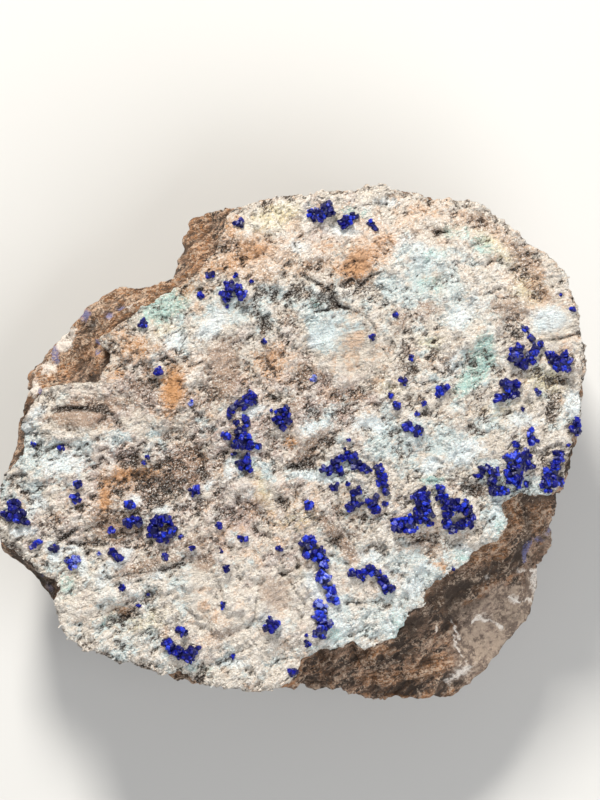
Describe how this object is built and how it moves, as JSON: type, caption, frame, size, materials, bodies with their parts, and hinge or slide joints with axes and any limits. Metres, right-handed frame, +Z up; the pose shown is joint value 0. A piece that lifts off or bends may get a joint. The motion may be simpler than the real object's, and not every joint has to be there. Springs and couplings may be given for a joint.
{
  "type": "allophane specimen with azurite on limonitic rock",
  "caption": "Hand specimen of pale blue and cream allophane crust with deep blue azurite crystals on brown limonitic rock, lying on its back.",
  "frame": {"origin": "middle of the specimen's bounds in plan, on the surface that it rests on", "axes": "+Z up out of the display face, +X towards the right side of the face, +Y towards its far side"},
  "size_m": [0.0531, 0.0463, 0.0181],
  "materials": {
    "host_rock": "matte",
    "allophane": "matte",
    "azurite": "gloss"
  },
  "bodies": {
    "root": {"host_rock": "host_rock", "allophane_crust": "allophane", "azurite_far_edge": "azurite", "azurite_far_edge_pair": "azurite", "azurite_far_edge_specks": "azurite", "azurite_upper_left": "azurite", "azurite_middle_pair": "azurite", "azurite_middle_specks": "azurite", "azurite_right_chain": "azurite", "azurite_right_cluster": "azurite", "azurite_right_rim": "azurite", "azurite_right_knot": "azurite", "azurite_rim_pair": "azurite", "azurite_bright_pair": "azurite", "azurite_lower_right_field": "azurite", "azurite_lower_right_arc": "azurite", "azurite_lower_right_rim": "azurite", "azurite_arch": "azurite", "azurite_chain": "azurite", "azurite_trio": "azurite", "azurite_triangle": "azurite", "azurite_twin": "azurite", "azurite_ring": "azurite", "azurite_long_chain": "azurite", "azurite_chain_foot": "azurite", "azurite_near_arc": "azurite", "azurite_bow": "azurite", "azurite_left_pair": "azurite", "azurite_knot": "azurite", "azurite_knot_foot": "azurite", "azurite_round": "azurite", "azurite_left_tip": "azurite", "azurite_lower_left_ring": "azurite", "azurite_lower_left_pair": "azurite", "azurite_lower_left_specks": "azurite", "azurite_pale_specks": "azurite", "azurite_left_rim_pair": "azurite", "azurite_crescent": "azurite", "azurite_single_a": "azurite", "azurite_single_b": "azurite", "azurite_single_c": "azurite", "azurite_single_d": "azurite", "azurite_single_e": "azurite", "azurite_single_f": "azurite", "azurite_single_g": "azurite", "azurite_single_h": "azurite", "azurite_single_i": "azurite", "azurite_single_j": "azurite", "azurite_single_k": "azurite", "azurite_single_l": "azurite", "azurite_single_m": "azurite", "azurite_single_n": "azurite", "azurite_single_o": "azurite", "azurite_single_p": "azurite", "azurite_single_q": "azurite"}
  },
  "joints": []
}
